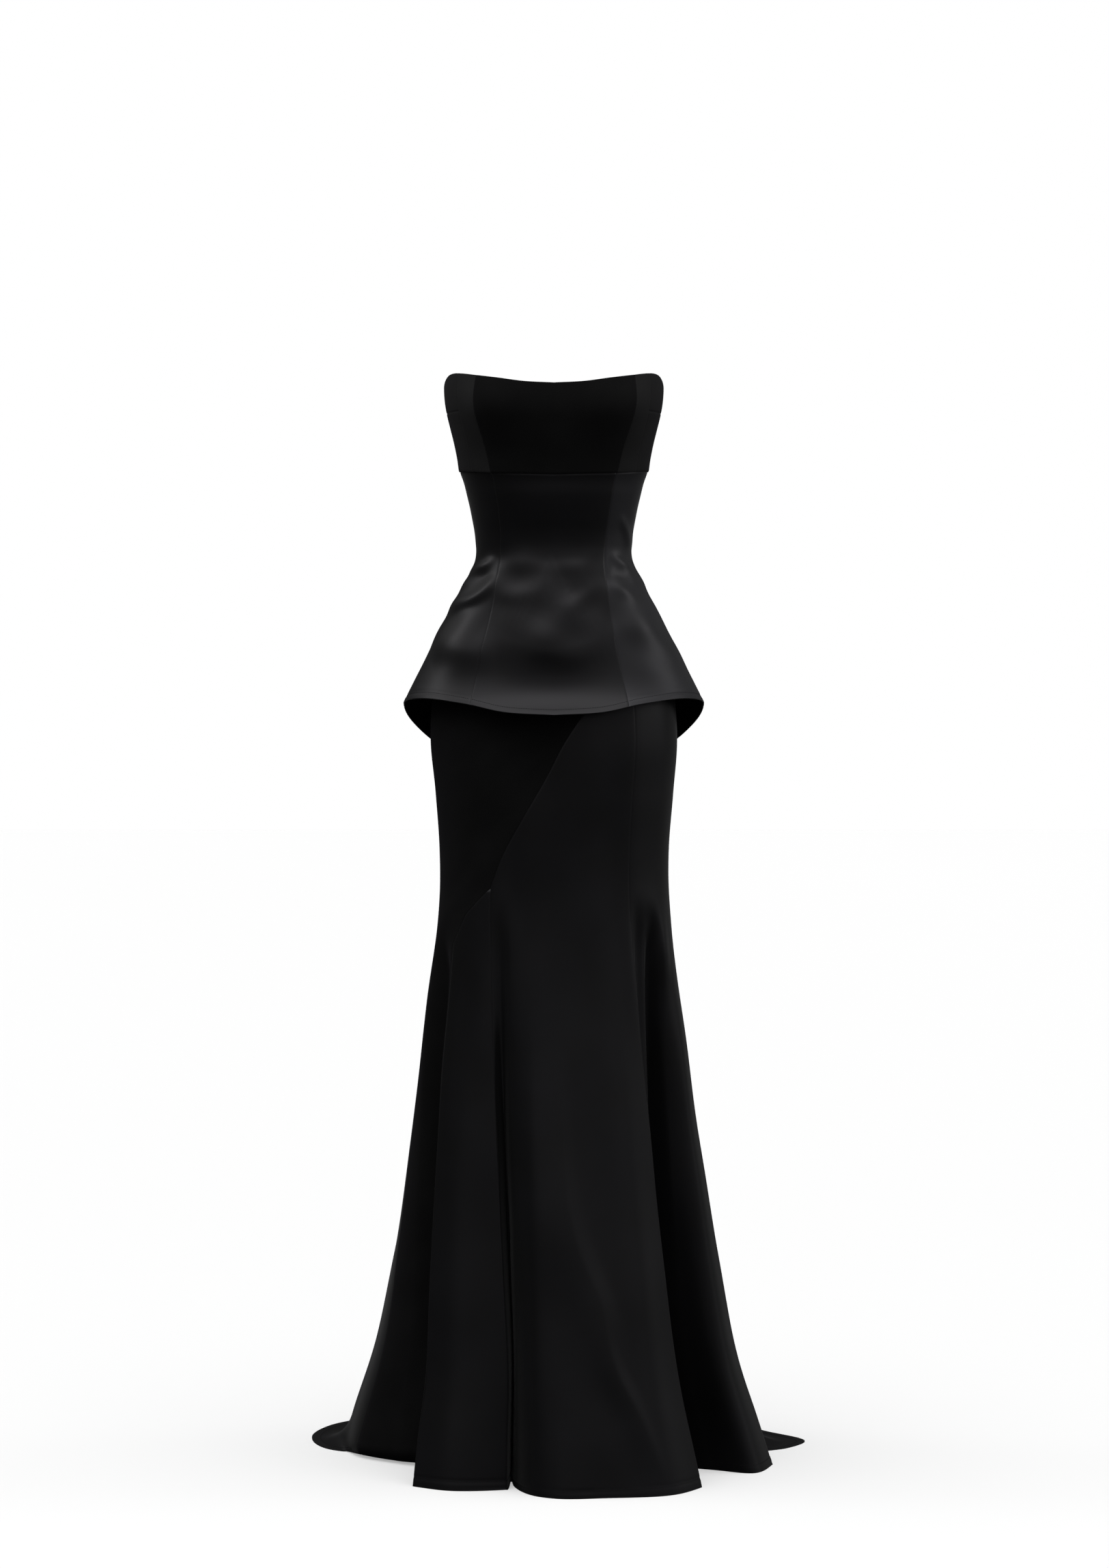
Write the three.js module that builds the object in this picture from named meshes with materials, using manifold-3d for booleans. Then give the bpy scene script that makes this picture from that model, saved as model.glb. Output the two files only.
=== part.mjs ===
// Strapless bustier maxi dress in black satin-back crepe, in its worn form with no wearer.
// Millimetres, +Z up, front towards -Y. Left and right are as seen from the front, so right is +X.
// The origin is the centre of the waist, where the dress is held, and the floor is at z = FLOOR.
// Every cloth piece is a thin closed wall between two seams, with its outer face on the shape below.

import * as THREE from "three";
import { mergeVertices } from "three/addons/utils/BufferGeometryUtils.js";
import Module from "manifold-3d";

// Driving sizes
const WAIST_ABOVE_FLOOR = 1210;
const FLOOR = -WAIST_ABOVE_FLOOR;
const BODICE_WALL = 1.5;
const SKIRT_WALL = 1.2;
const SEAM_GAP = 0.32;
const HEM_CLEARANCE = 0.2;
const FOOT_HEIGHT = 100;
const TRAIN_BEND = 48;
const BACK_SEAM = 140;
const SIDE_SEAM = 98;
const SIDE_FRONT_SEAM = 60;
const SIDE_SPLIT = 179;
const ZIP_SLIDER = { z: 173, length: 10, width: 6, thick: 1.8, clear: 0.4 };
const ZIP_CROWN = { opening: 3.4, bar: 1, width: 1.2, room: 2 };
const ZIP_PULL = { reach: 21, width: 5.6, neck: 4.4, thick: 0.9, bar: 1, slot: 2.2, slotLength: 5.1 };

const MATT = { color: 0x0a0a0c, roughness: 0.85 };
const SATIN = { color: 0x1a181d, roughness: 0.45 };
const METAL = { color: 0x16161a, roughness: 0.35, metalness: 0.8 };

// Sections of the bust band: half width, depth to the front and depth to the back at each height
const BUST_SECTIONS = [
  { z: 236, half: 143.2, front: 107, back: 98.5 },
  { z: 216, half: 144.8, front: 110, back: 98.8 },
  { z: 195, half: 143.8, front: 112, back: 98.6 },
  { z: 178, half: 141.0, front: 112, back: 98.2 },
  { z: 160, half: 136.6, front: 110, back: 96.8 },
  { z: 141, half: 131.8, front: 106.5, back: 94.8 },
  { z: 120, half: 127.2, front: 101.5, back: 92.2 },
  { z: 103, half: 123.8, front: 97.8, back: 90.2 },
  { z: 88, half: 118.8, front: 93.4, back: 88.2 },
];
const CUP = { angle: 33, spread: 21, z: 182, height: 40, rise: 11 };

// Sections of the fitted bodice and of the peplum that is cut in one with it
const BODICE_SECTIONS = [
  { z: 120, half: 127.2, front: 101.5, back: 92.2 },
  { z: 103, half: 123.8, front: 97.8, back: 90.2 },
  { z: 88, half: 118.6, front: 93.4, back: 88.2 },
  { z: 58, half: 111.2, front: 88, back: 85.4 },
  { z: 22, half: 104.4, front: 85.4, back: 84 },
  { z: 0, half: 102.4, front: 85.4, back: 84.6 },
  { z: -13, half: 103.6, front: 87, back: 87 },
  { z: -31, half: 110.8, front: 93.6, back: 95.4 },
  { z: -49, half: 119.6, front: 101.4, back: 105 },
  { z: -85, half: 139.6, front: 117, back: 121 },
  { z: -121, half: 158.4, front: 132.6, back: 135.4 },
  { z: -157, half: 176.2, front: 147.4, back: 148 },
  { z: -202, half: 198.6, front: 165, back: 162 },
  { z: -240, half: 204, front: 172, back: 171 },
  { z: -315, half: 207, front: 180, back: 184 },
];

// Sections of the skirt before its folds
const SKIRT_SECTIONS = [
  { z: 0, half: 99.5, front: 82.5, back: 81.8 },
  { z: -13, half: 100.6, front: 83.8, back: 83 },
  { z: -31, half: 106.2, front: 89.2, back: 90.2 },
  { z: -60, half: 118.8, front: 97.8, back: 102 },
  { z: -112, half: 139.5, front: 108.5, back: 115 },
  { z: -180, half: 156.8, front: 117, back: 121.5 },
  { z: -250, half: 162.6, front: 121, back: 122 },
  { z: -320, half: 156.8, front: 119.5, back: 117.5 },
  { z: -392, half: 150.8, front: 116.5, back: 113 },
  { z: -430, half: 150.2, front: 115.5, back: 113 },
  { z: -500, half: 154.9, front: 116.5, back: 118 },
  { z: -571, half: 163.8, front: 120.5, back: 128 },
  { z: -643, half: 173.7, front: 126.5, back: 141 },
  { z: -787, half: 193.5, front: 141, back: 173 },
  { z: -931, half: 216.5, front: 157, back: 212 },
  { z: -1075, half: 245, front: 173, back: 262 },
  { z: -1147, half: 268, front: 181, back: 293 },
  { z: -1210, half: 288, front: 187, back: 325 },
];

// Edges of the pieces by angle round the body: 0 at the front centre, 90 at the right side
const NECKLINE = [
  { a: 0, z: 212.5 },
  { a: 15, z: 214.6 },
  { a: 30, z: 220.2 },
  { a: 45, z: 225 },
  { a: 56, z: 227.6 },
  { a: 65, z: 227.2 },
  { a: 74, z: 222.5 },
  { a: 88, z: 215 },
  { a: 102, z: 207 },
  { a: 122, z: 196 },
  { a: 150, z: 187.5 },
  { a: 180, z: 186 },
];
const UNDERBUST = [
  { a: 0, z: 95 },
  { a: 43, z: 98 },
  { a: 75, z: 102 },
  { a: 100, z: 103 },
  { a: 180, z: 101 },
];
const PEPLUM_HEM = [
  { a: 0, z: -216 },
  { a: 19, z: -212 },
  { a: 33, z: -203 },
  { a: 41, z: -199.5 },
  { a: 55, z: -195.5 },
  { a: 75, z: -196.5 },
  { a: 90, z: -201 },
];
const PEPLUM_BACK_DROP = 108;

// Princess seams of the bust band and of the bodice: angle to the left and to the right
const BUST_PRINCESS = [
  { z: 228, left: -43.3, right: 45.8 },
  { z: 180, left: -43.6, right: 45.2 },
  { z: 140, left: -43.4, right: 44.2 },
  { z: 98, left: -41.8, right: 42.2 },
];
const BODICE_PRINCESS = [
  { z: 98, left: -41.5, right: 41.8 },
  { z: 22, left: -42, right: 41.4 },
  { z: -10, left: -43, right: 40 },
  { z: -31, left: -41.2, right: 37.6 },
  { z: -67, left: -37.6, right: 33.4 },
  { z: -105, left: -35.2, right: 30.6 },
  { z: -202, left: -33, right: 29 },
];

// Lines that guide the skirt's folds, round the body from the front centre to the right.
// start: height where the fold is born; x, y: where the line comes down to the floor;
// hemX, hemY: where the hem lies, further out on the train; crisp: 1 on a sharp edge; rate: how it opens.
const FOLDS = [
  { name: "front_centre", a: 0, start: -520, x: 2, y: -187, crisp: 0, rate: 1.2 },
  { name: "front_mid", a: 19, start: -520, x: 66, y: -184, crisp: 0, rate: 1.2 },
  { name: "front_right", a: 31, start: -520, x: 156, y: -163, crisp: 0, rate: 1.2 },
  { name: "right_edge", a: 40.4, start: -440, x: 191, y: -119, crisp: 0.8, rate: 1 },
  { name: "right_tuck", a: 46, start: -440, x: 160, y: -82, crisp: 0, rate: 0.8 },
  { name: "right_ridge", a: 51.5, start: -440, x: 170, y: -56, crisp: 0.5, rate: 0.9 },
  { name: "right_hollow", a: 58, start: -450, x: 158, y: -20, crisp: 0, rate: 0.8 },
  { name: "right_face", a: 66, start: -500, x: 206, y: -34, crisp: 0, rate: 1 },
  { name: "right_flute", a: 76, start: -480, x: 262, y: -34, crisp: 0, rate: 1 },
  { name: "right_crest", a: 86, start: -480, x: 290, y: 22, crisp: 0.6, rate: 1 },
  { name: "right_turn", a: 98, start: -520, x: 262, y: 84, hemX: 268, hemY: 92, rate: 1 },
  { name: "train_right_fore", a: 108, start: -560, x: 262, y: 124, hemX: 316, hemY: 127, rate: 1 },
  { name: "train_right_tip", a: 117, start: -600, x: 266, y: 172, hemX: 342, hemY: 168, rate: 1 },
  { name: "train_right_aft", a: 127, start: -560, x: 232, y: 212, hemX: 288, hemY: 246, rate: 1 },
  { name: "back_right_crest", a: 138, start: -520, x: 214, y: 296, hemX: 240, hemY: 334, rate: 1 },
  { name: "back_right_hollow", a: 148, start: -520, x: 148, y: 256, hemX: 200, hemY: 398, rate: 1 },
  { name: "back_right_flute", a: 159, start: -560, x: 112, y: 342, hemX: 134, hemY: 440, rate: 1 },
  { name: "back_right_trough", a: 169, start: -560, x: 56, y: 292, hemX: 68, hemY: 462, rate: 1 },
  { name: "back_centre", a: 180, start: -540, x: 0, y: 350, hemX: 0, hemY: 470, rate: 1 },
  { name: "back_left_trough", a: 191, start: -580, x: -60, y: 286, hemX: -70, hemY: 464, rate: 1 },
  { name: "back_left_flute", a: 201, start: -540, x: -106, y: 334, hemX: -136, hemY: 444, rate: 1 },
  { name: "back_left_hollow", a: 212, start: -560, x: -156, y: 262, hemX: -206, hemY: 404, rate: 1 },
  { name: "back_left_crest", a: 222, start: -520, x: -208, y: 300, hemX: -252, hemY: 346, rate: 1 },
  { name: "train_left_aft", a: 233, start: -560, x: -242, y: 222, hemX: -312, hemY: 278, rate: 1 },
  { name: "train_left_tip", a: 243, start: -560, x: -284, y: 188, hemX: -332, hemY: 206, rate: 1 },
  { name: "train_left_fore", a: 253, start: -560, x: -284, y: 130, hemX: -306, hemY: 122, rate: 1 },
  { name: "left_turn", a: 264, start: -600, x: -266, y: 66, hemX: -250, hemY: 86, rate: 1.5 },
  { name: "left_face", a: 276, start: -560, x: -212, y: 22, hemX: -198, hemY: 46, rate: 1.6 },
  { name: "left_hollow", a: 290, start: -470, x: -152, y: -26, crisp: 0, rate: 0.9 },
  { name: "left_flute_edge", a: 303, start: -470, x: -182, y: -114, crisp: 0.9, rate: 2.1 },
  { name: "left_flute_face", a: 313, start: -450, x: -136, y: -140, crisp: 0, rate: 1.7 },
  { name: "left_flute_return", a: 327, start: -440, x: -57, y: -127, crisp: 0.7, rate: 1.35 },
  { name: "front_tuck", a: 332, start: -440, x: -53, y: -96, crisp: 0.2, rate: 1.3 },
  { name: "front_left", a: 339, start: -470, x: -47, y: -146, crisp: 0, rate: 1.5 },
  { name: "front_left_mid", a: 349, start: -520, x: -12, y: -184, crisp: 0, rate: 1.5 },
];
const LINES = FOLDS.length;
const lineAt = (name) => FOLDS.findIndex((fold) => fold.name === name);

// Heights of the skirt's rows, and shares of the foot, which turns out on to the train
const SKIRT_ROWS = [
  -5, -17, -32, -60, -112, -160, -205, -250, -300, -350, -400, -440, -475, -515, -560, -610, -665, -725,
  -790, -860, -930, -1000, -1058, -1110,
];
const FOOT_ROWS = [0.18, 0.36, 0.56, 0.78, 1];
const FOOT_TOP = FLOOR + FOOT_HEIGHT;

// Diagonal seam of the front: angle by height. It leaves the right princess seam under the peplum,
// crosses to the left, kinks where the godet begins and then follows the left flute's edge.
const DIAGONAL_APEX = -112;
const KINK = -440;
const DIAGONAL = [
  { z: -112, a: 40.4 },
  { z: -160, a: 29 },
  { z: -205, a: 16.5 },
  { z: -250, a: 5.5 },
  { z: -300, a: -4 },
  { z: -350, a: -15 },
  { z: -400, a: -26.5 },
  { z: -440, a: -33 },
  { z: -475, a: -48.5 },
  { z: -515, a: -57 },
];

// Smooth curve through one column of a table, for any place along its key
function along(rows, key, column, at) {
  const down = rows[0][key] > rows[rows.length - 1][key];
  const table = down ? [...rows].reverse() : rows;
  const last = table.length - 1;
  const place = THREE.MathUtils.clamp(at, table[0][key], table[last][key]);
  let i = 0;
  while (i < last - 1 && place > table[i + 1][key]) i += 1;
  const slope = (j) =>
    (table[j + 1][column] - table[j][column]) / (table[j + 1][key] - table[j][key]);
  const tangent = (j) => {
    if (j === 0) return slope(0);
    if (j === last) return slope(last - 1);
    const before = table[j][key] - table[j - 1][key];
    const after = table[j + 1][key] - table[j][key];
    return (slope(j - 1) * after + slope(j) * before) / (before + after);
  };
  const width = table[i + 1][key] - table[i][key];
  const t = (place - table[i][key]) / width;
  const rise = t * t * (3 - 2 * t);
  const easeOut = t * (1 - t) * (1 - t) * width;
  const easeIn = t * t * (t - 1) * width;
  return (
    table[i][column] * (1 - rise) +
    table[i + 1][column] * rise +
    tangent(i) * easeOut +
    tangent(i + 1) * easeIn
  );
}

// Angle from 0 at the front to 180 at the back, the same on both sides
function fromFront(a) {
  const turned = ((a % 360) + 360) % 360;
  return turned > 180 ? 360 - turned : turned;
}

const neckline = (a) => along(NECKLINE, "a", "z", fromFront(a));
const underbust = (a) => along(UNDERBUST, "a", "z", fromFront(a));

function peplumHem(a) {
  const turned = fromFront(a);
  if (turned <= 90) return along(PEPLUM_HEM, "a", "z", turned);
  const side = PEPLUM_HEM[PEPLUM_HEM.length - 1].z;
  return side - PEPLUM_BACK_DROP * Math.sin(THREE.MathUtils.degToRad(turned - 90)) ** 1.5;
}

// Point of an egg-shaped ring at an angle and a height
function ringPoint(sections, a, z) {
  const angle = THREE.MathUtils.degToRad(a);
  const deep = Math.cos(angle) > 0 ? "front" : "back";
  return new THREE.Vector3(
    along(sections, "z", "half", z) * Math.sin(angle),
    -along(sections, "z", deep, z) * Math.cos(angle),
    z,
  );
}

// Bust band: the ring with two soft cups
function bustPoint(a, z) {
  const point = ringPoint(BUST_SECTIONS, a, z);
  const aside = (fromFront(a) - CUP.angle) / CUP.spread;
  const above = (z - CUP.z) / CUP.height;
  const rise = 1 + (CUP.rise * Math.exp(-aside * aside - above * above)) / Math.hypot(point.x, point.y);
  return new THREE.Vector3(point.x * rise, point.y * rise, z);
}

const bodicePoint = (a, z) => ringPoint(BODICE_SECTIONS, a, z);

// How far a fold has opened at a height: 0 where it is born, 1 at the floor
function opened(fold, z) {
  const share = (fold.start - z) / (fold.start - FLOOR);
  return THREE.MathUtils.clamp(share, 0, 1) ** fold.rate;
}

// Place of a fold line at a height, before the foot
function foldPoint(fold, z) {
  const plain = ringPoint(SKIRT_SECTIONS, fold.a, z);
  const foot = ringPoint(SKIRT_SECTIONS, fold.a, FLOOR);
  const share = opened(fold, z);
  return new THREE.Vector3(
    plain.x + (fold.x - foot.x) * share,
    plain.y + (fold.y - foot.y) * share,
    z,
  );
}

// Place of a fold line on the foot: down to the floor, round the bend and out along the train
function footPoint(fold, share) {
  const out = new THREE.Vector2((fold.hemX ?? fold.x) - fold.x, (fold.hemY ?? fold.y) - fold.y);
  const reach = out.length();
  const bend = Math.min(TRAIN_BEND, reach * 0.7);
  const ground = FLOOR + THREE.MathUtils.lerp(HEM_CLEARANCE, SKIRT_WALL, Math.min(1, reach / 10));
  const fall = FOOT_TOP - ground - bend;
  const arc = (bend * Math.PI) / 2;
  const gone = share * (fall + arc + reach - bend);
  const turn = THREE.MathUtils.clamp((gone - fall) / Math.max(bend, 0.01), 0, Math.PI / 2);
  const beyond = Math.max(0, gone - fall - arc);
  const dropped = Math.min(gone, fall) + bend * Math.sin(turn);
  const pushed = bend * (1 - Math.cos(turn)) + beyond;
  const point = foldPoint(fold, FOOT_TOP - dropped);
  out.normalize().multiplyScalar(pushed);
  return new THREE.Vector3(point.x + out.x, point.y + out.y, FOOT_TOP - dropped);
}

const STANDING = SKIRT_ROWS.length - 1;

// Row of the skirt: whole numbers are the rows of SKIRT_ROWS, then of FOOT_ROWS
function skirtRow(row) {
  if (row <= STANDING) {
    const i = Math.min(STANDING - 1, Math.floor(row));
    const z = THREE.MathUtils.lerp(SKIRT_ROWS[i], SKIRT_ROWS[i + 1], row - i);
    return { z, place: (fold) => foldPoint(fold, z) };
  }
  const shares = [0, ...FOOT_ROWS];
  const i = Math.min(shares.length - 2, Math.floor(row - STANDING));
  const share = THREE.MathUtils.lerp(shares[i], shares[i + 1], row - STANDING - i);
  return { z: FLOOR, place: (fold) => footPoint(fold, share) };
}

const knownRows = new Map();

function rowOfLines(row) {
  if (!knownRows.has(row)) {
    const { z, place } = skirtRow(row);
    const points = FOLDS.map(place);
    const crisp = FOLDS.map((fold) => (fold.crisp ?? 0) * Math.min(1, 5 * opened(fold, z)));
    knownRows.set(row, { points, crisp });
  }
  return knownRows.get(row);
}

// Skirt surface: u counts fold lines from the front centre, row counts rows from the waist down
function skirtPoint(u, row) {
  const { points, crisp } = rowOfLines(row);
  const turned = ((u % LINES) + LINES) % LINES;
  const i = Math.floor(turned) % LINES;
  const t = turned - Math.floor(turned);
  const at = (j) => points[(j + LINES) % LINES];
  const chord = at(i + 1).distanceTo(at(i));
  const direction = (j, side) => {
    const before = at(j).clone().sub(at(j - 1));
    const after = at(j + 1).clone().sub(at(j));
    const short = before.length();
    const long = after.length();
    const smooth = before.divideScalar(short).multiplyScalar(long);
    smooth.add(after.clone().divideScalar(long).multiplyScalar(short)).divideScalar(short + long);
    const straight = at(side > 0 ? j + 1 : j).clone().sub(at(side > 0 ? j : j - 1));
    straight.divideScalar(straight.length());
    return smooth.lerp(straight, crisp[(j + LINES) % LINES]);
  };
  const rise = t * t * (3 - 2 * t);
  return at(i)
    .clone()
    .multiplyScalar(1 - rise)
    .addScaledVector(at(i + 1), rise)
    .addScaledVector(direction(i, 1), t * (1 - t) * (1 - t) * chord)
    .addScaledVector(direction(i + 1, -1), t * t * (t - 1) * chord);
}

// Place among the fold lines of an angle
function lineOfAngle(a) {
  const turned = ((a % 360) + 360) % 360;
  const angles = [...FOLDS.map((fold) => fold.a), 360];
  const i = angles.findIndex((angle, j) => j > 0 && turned <= angle) - 1;
  return i + (turned - angles[i]) / (angles[i + 1] - angles[i]);
}

// Unit normal of a surface, halfway between the faces on both sides of the point, and the wall's
// length along it that keeps the wall's thickness at a crisp edge
function wallDirection(surface, u, v, stepU, [firstRow, lastRow]) {
  const here = surface(u, v);
  const high = surface(u, Math.max(firstRow, v - 0.05));
  const low = surface(u, Math.min(lastRow, v + 0.05));
  const up = high.sub(low).normalize();
  const across = (side) => {
    const towards = surface(u + side * stepU, v).sub(here).multiplyScalar(side);
    return towards.cross(up).normalize();
  };
  const before = across(-1);
  const after = across(1);
  const normal = before.clone().add(after).normalize();
  return { normal, stretch: 1 / Math.max(0.72, normal.dot(after)) };
}

// Closed wall between two seams. point(u, v): outer face; left(v), right(v): seams; rows: places of v;
// span: the first and last v of the whole surface; columns: strips across.
function clothWall({ name, point, left, right, rows, span, columns, wall, finish, gaps = [1, 1] }) {
  const across = columns + 1;
  const outer = [];
  const inner = [];
  for (const v of rows) {
    const from = left(v);
    const to = right(v);
    const step = (to - from) / columns;
    const probe = Math.min(0.25, Math.abs(step) / 3);
    const halfGap = (u) => {
      const speed = point(u + probe, v).distanceTo(point(u - probe, v)) / (2 * probe);
      return SEAM_GAP / 2 / speed;
    };
    const start = from + gaps[0] * halfGap(from);
    const end = to - gaps[1] * halfGap(to);
    for (let j = 0; j < across; j += 1) {
      const u = THREE.MathUtils.lerp(start, end, j / columns);
      const spot = point(u, v);
      const { normal, stretch } = wallDirection(point, u, v, probe, span);
      outer.push(spot);
      inner.push(spot.clone().addScaledVector(normal, -wall * stretch));
    }
  }
  const down = rows.length;
  const count = outer.length;
  const positions = [...outer, ...inner].flatMap((spot) => spot.toArray());
  const index = [];
  const quad = (a, b, c, d) => index.push(a, b, c, a, c, d);
  for (let i = 0; i < down - 1; i += 1) {
    for (let j = 0; j < columns; j += 1) {
      const corner = i * across + j;
      quad(corner, corner + across, corner + across + 1, corner + 1);
      quad(
        count + corner,
        count + corner + 1,
        count + corner + across + 1,
        count + corner + across,
      );
    }
    const first = i * across;
    const last = first + columns;
    quad(first, count + first, count + first + across, first + across);
    quad(last, last + across, count + last + across, count + last);
  }
  for (let j = 0; j < columns; j += 1) {
    const bottom = (down - 1) * across + j;
    quad(j, j + 1, count + j + 1, count + j);
    quad(bottom, count + bottom, count + bottom + 1, bottom + 1);
  }
  const geometry = new THREE.BufferGeometry();
  geometry.setAttribute("position", new THREE.Float32BufferAttribute(positions, 3));
  geometry.setIndex(index);
  const mesh = new THREE.Mesh(geometry, new THREE.MeshStandardMaterial(finish));
  mesh.name = name;
  return mesh;
}

const evenly = (count) => Array.from({ length: count + 1 }, (_, i) => i / count);

// Surface of a fitted piece between its upper and lower edge: u is the angle, v runs 0 to 1 downwards
function fitted(point, upper, lower) {
  return (u, v) => point(u, THREE.MathUtils.lerp(upper(u), lower(u), v));
}

function fittedPanel({ name, point, upper, lower, left, right, rows, columns, finish }) {
  const seam = (edge) => (typeof edge === "number" ? () => edge : edge);
  return clothWall({
    name,
    point: fitted(point, upper, lower),
    left: seam(left),
    right: seam(right),
    rows,
    span: [0, 1],
    columns,
    wall: BODICE_WALL,
    finish,
  });
}

// Bust band: matt side out, with princess seams over the cups and a short cross seam at each side
function bustBand() {
  const group = new THREE.Group();
  const top = neckline;
  const bottom = (a) => underbust(a) + SEAM_GAP / 2;
  const princess = (side) => (v) => {
    const z = THREE.MathUtils.lerp(neckline(43), underbust(43), v);
    return along(BUST_PRINCESS, "z", side, z);
  };
  const rows = evenly(7);
  const whole = { point: bustPoint, upper: top, lower: bottom, rows, finish: MATT };
  group.add(
    fittedPanel({
      ...whole,
      name: "bust_front_centre",
      left: princess("left"),
      right: princess("right"),
      columns: 14,
    }),
  );
  const mirrored = (name, from, to, columns, more = {}) => {
    const edges = (sign) => {
      const [near, far] = sign > 0 ? [from, to] : [to, from];
      const turn = (edge) => (edge === "princess" ? princess(sign > 0 ? "right" : "left") : sign * edge);
      return { left: turn(near), right: turn(far) };
    };
    for (const [side, sign] of [["left", -1], ["right", 1]]) {
      group.add(fittedPanel({ ...whole, ...more, ...edges(sign), name: `${name}_${side}`, columns }));
    }
  };
  mirrored("bust_front_side", "princess", SIDE_FRONT_SEAM, 3);
  mirrored("bust_side_upper", SIDE_FRONT_SEAM, SIDE_SEAM, 5, {
    lower: () => SIDE_SPLIT + SEAM_GAP / 2,
    rows: evenly(2),
  });
  mirrored("bust_side_lower", SIDE_FRONT_SEAM, SIDE_SEAM, 5, {
    upper: () => SIDE_SPLIT - SEAM_GAP / 2,
    rows: evenly(4),
  });
  mirrored("bust_back_side", SIDE_SEAM, BACK_SEAM, 5, { rows: evenly(5) });
  mirrored("bust_back_centre", BACK_SEAM, 180, 4, { rows: evenly(5) });
  return group;
}

// Fitted bodice and peplum, cut in one with no waist seam, satin side out
function bodiceAndPeplum() {
  const group = new THREE.Group();
  const top = (a) => underbust(a) - SEAM_GAP / 2;
  const princess = (side) => (v) => {
    const z = THREE.MathUtils.lerp(top(41), peplumHem(35), v);
    return along(BODICE_PRINCESS, "z", side, z);
  };
  const rows = [0, 0.07, 0.16, 0.25, 0.31, 0.36, 0.42, 0.5, 0.6, 0.72, 0.86, 1];
  const whole = { point: bodicePoint, upper: top, lower: peplumHem, rows, finish: SATIN };
  group.add(
    fittedPanel({
      ...whole,
      name: "bodice_front_centre",
      left: princess("left"),
      right: princess("right"),
      columns: 10,
    }),
  );
  const sides = [
    { name: "bodice_front_side", from: "princess", to: SIDE_SEAM, columns: 8 },
    { name: "bodice_back_side", from: SIDE_SEAM, to: BACK_SEAM, columns: 6 },
    { name: "bodice_back_centre", from: BACK_SEAM, to: 180, columns: 5 },
  ];
  for (const { name, from, to, columns } of sides) {
    const inner = (side) => (from === "princess" ? princess(side) : from);
    const right = { left: inner("right"), right: to };
    const left = { left: -to, right: from === "princess" ? princess("left") : -from };
    group.add(fittedPanel({ ...whole, ...right, name: `${name}_right`, columns }));
    group.add(fittedPanel({ ...whole, ...left, name: `${name}_left`, columns }));
  }
  return group;
}

// Skirt: eight pieces from the waist to the floor, with the train behind
function skirt() {
  const group = new THREE.Group();
  const lastRow = STANDING + FOOT_ROWS.length;
  const allRows = Array.from({ length: lastRow + 1 }, (_, i) => i);
  const rowOf = (z) => SKIRT_ROWS.indexOf(z);
  const apexRow = rowOf(DIAGONAL_APEX);
  const kinkRow = rowOf(KINK);
  const rightEdge = lineAt("right_edge") + LINES;
  const fluteEdge = lineAt("left_flute_edge");
  const fluteReturn = lineAt("left_flute_return");
  const diagonalAt = (row) => {
    if (row <= apexRow) return rightEdge;
    if (row >= rowOf(DIAGONAL[DIAGONAL.length - 1].z)) return fluteEdge;
    const i = Math.floor(row);
    const line = (j) => {
      const place = lineOfAngle(DIAGONAL.find(({ z }) => z === SKIRT_ROWS[j]).a);
      return place < fluteEdge - 1 ? place + LINES : place;
    };
    return THREE.MathUtils.lerp(line(i), line(i + 1), row - i);
  };
  const frontLeft = (row) => (row < kinkRow ? diagonalAt(row) : fluteReturn);
  const add = (name, left, right, columns, finish, rows = allRows) => {
    const seam = (edge) => (typeof edge === "number" ? () => edge : edge);
    group.add(
      clothWall({
        name,
        point: skirtPoint,
        left: seam(left),
        right: seam(right),
        rows,
        span: [0, lastRow],
        columns,
        wall: SKIRT_WALL,
        finish,
      }),
    );
  };
  const below = (row, tip) => [row + tip, ...allRows.filter((other) => other > row)];
  const sideRight = lineAt("right_turn");
  const backRight = lineAt("back_right_hollow");
  const backCentre = lineAt("back_centre");
  const backLeft = lineAt("back_left_hollow");
  const sideLeft = lineAt("left_turn");
  add("skirt_side_front_left", sideLeft, diagonalAt, 9, MATT);
  add("skirt_godet_left", diagonalAt, fluteReturn, 6, SATIN, below(kinkRow, 0.04));
  add("skirt_front_centre", frontLeft, rightEdge, 14, SATIN, below(apexRow, 0.04));
  add("skirt_side_front_right", rightEdge - LINES, sideRight, 14, SATIN);
  add("skirt_back_side_right", sideRight, backRight, 10, SATIN);
  add("skirt_back_centre_right", backRight, backCentre, 6, SATIN);
  add("skirt_back_centre_left", backCentre, backLeft, 6, SATIN);
  add("skirt_back_side_left", backLeft, sideLeft, 10, SATIN);
  return group;
}

const manifold = await Module();
manifold.setup();

// Two overlapping closed shapes joined into one
function joined(first, second) {
  const [a, b] = [first, second].map((geometry) => {
    const bare = geometry.clone();
    bare.deleteAttribute("normal");
    bare.deleteAttribute("uv");
    const merged = mergeVertices(bare);
    return new manifold.Manifold(
      new manifold.Mesh({
        numProp: 3,
        vertProperties: merged.attributes.position.array,
        triVerts: new Uint32Array(merged.index.array),
      }),
    );
  });
  const { vertProperties, triVerts } = a.add(b).getMesh();
  const geometry = new THREE.BufferGeometry();
  geometry.setAttribute("position", new THREE.BufferAttribute(vertProperties, 3));
  geometry.setIndex(new THREE.BufferAttribute(triVerts, 1));
  return geometry;
}

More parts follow.
